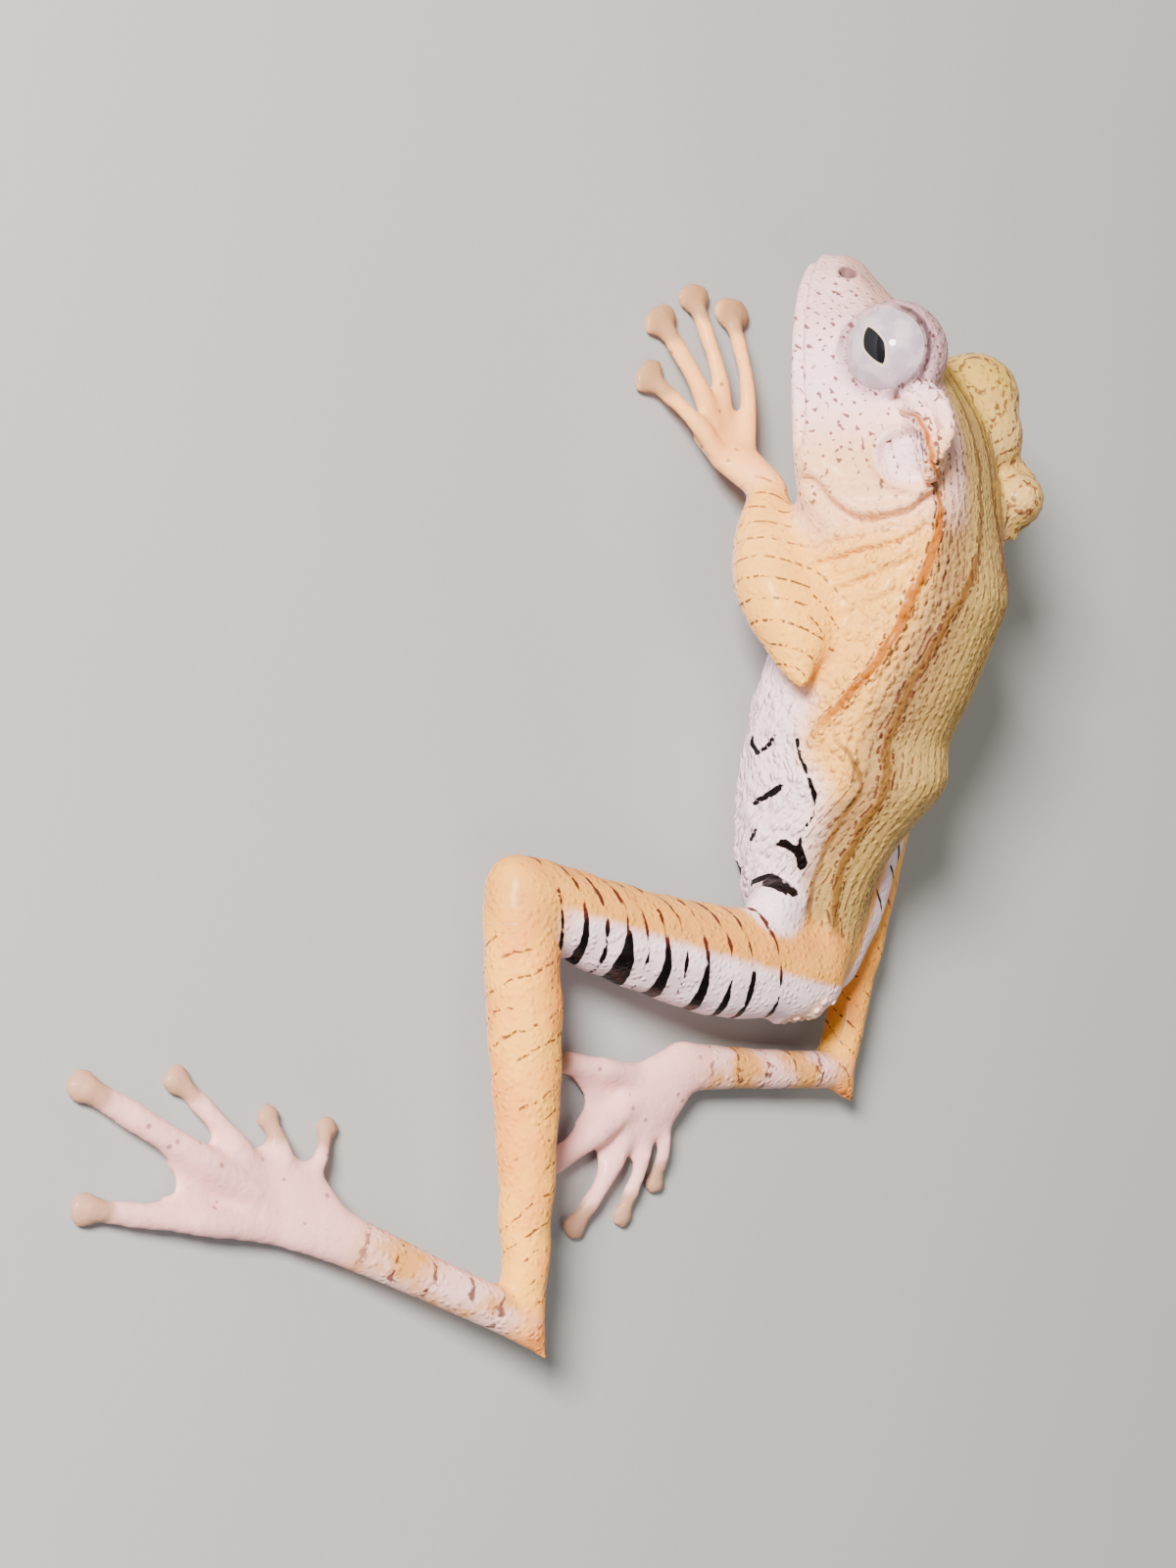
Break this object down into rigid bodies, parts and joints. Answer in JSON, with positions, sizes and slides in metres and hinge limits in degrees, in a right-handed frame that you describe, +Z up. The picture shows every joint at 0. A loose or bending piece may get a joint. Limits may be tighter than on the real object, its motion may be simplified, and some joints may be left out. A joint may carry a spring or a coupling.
{
  "type": "file-eared tree frog model",
  "caption": "Life-size still model of a file-eared tree frog resting low on the floor, one hind leg laid out to its side.",
  "frame": {"origin": "middle of the frog's bounding box, at the floor it rests on", "axes": "+Z up, the head points along -X, the frog's right side is +Y"},
  "size_m": [0.1178, 0.1212, 0.0351],
  "materials": {
    "skin": "satin",
    "eye": "gloss",
    "eardrum": "satin"
  },
  "bodies": {
    "root": {"head": "skin", "trunk": "skin", "eye_left": "eye", "eye_right": "eye", "ear_left": "eardrum", "ear_right": "eardrum", "upper_arm_left": "skin", "forearm_left": "skin", "hand_left": "skin", "thigh_left": "skin", "shank_left": "skin", "tarsus_left": "skin", "foot_left": "skin", "upper_arm_right": "skin", "forearm_right": "skin", "hand_right": "skin", "thigh_right": "skin", "shank_right": "skin", "tarsus_right": "skin", "foot_right": "skin"}
  },
  "joints": []
}
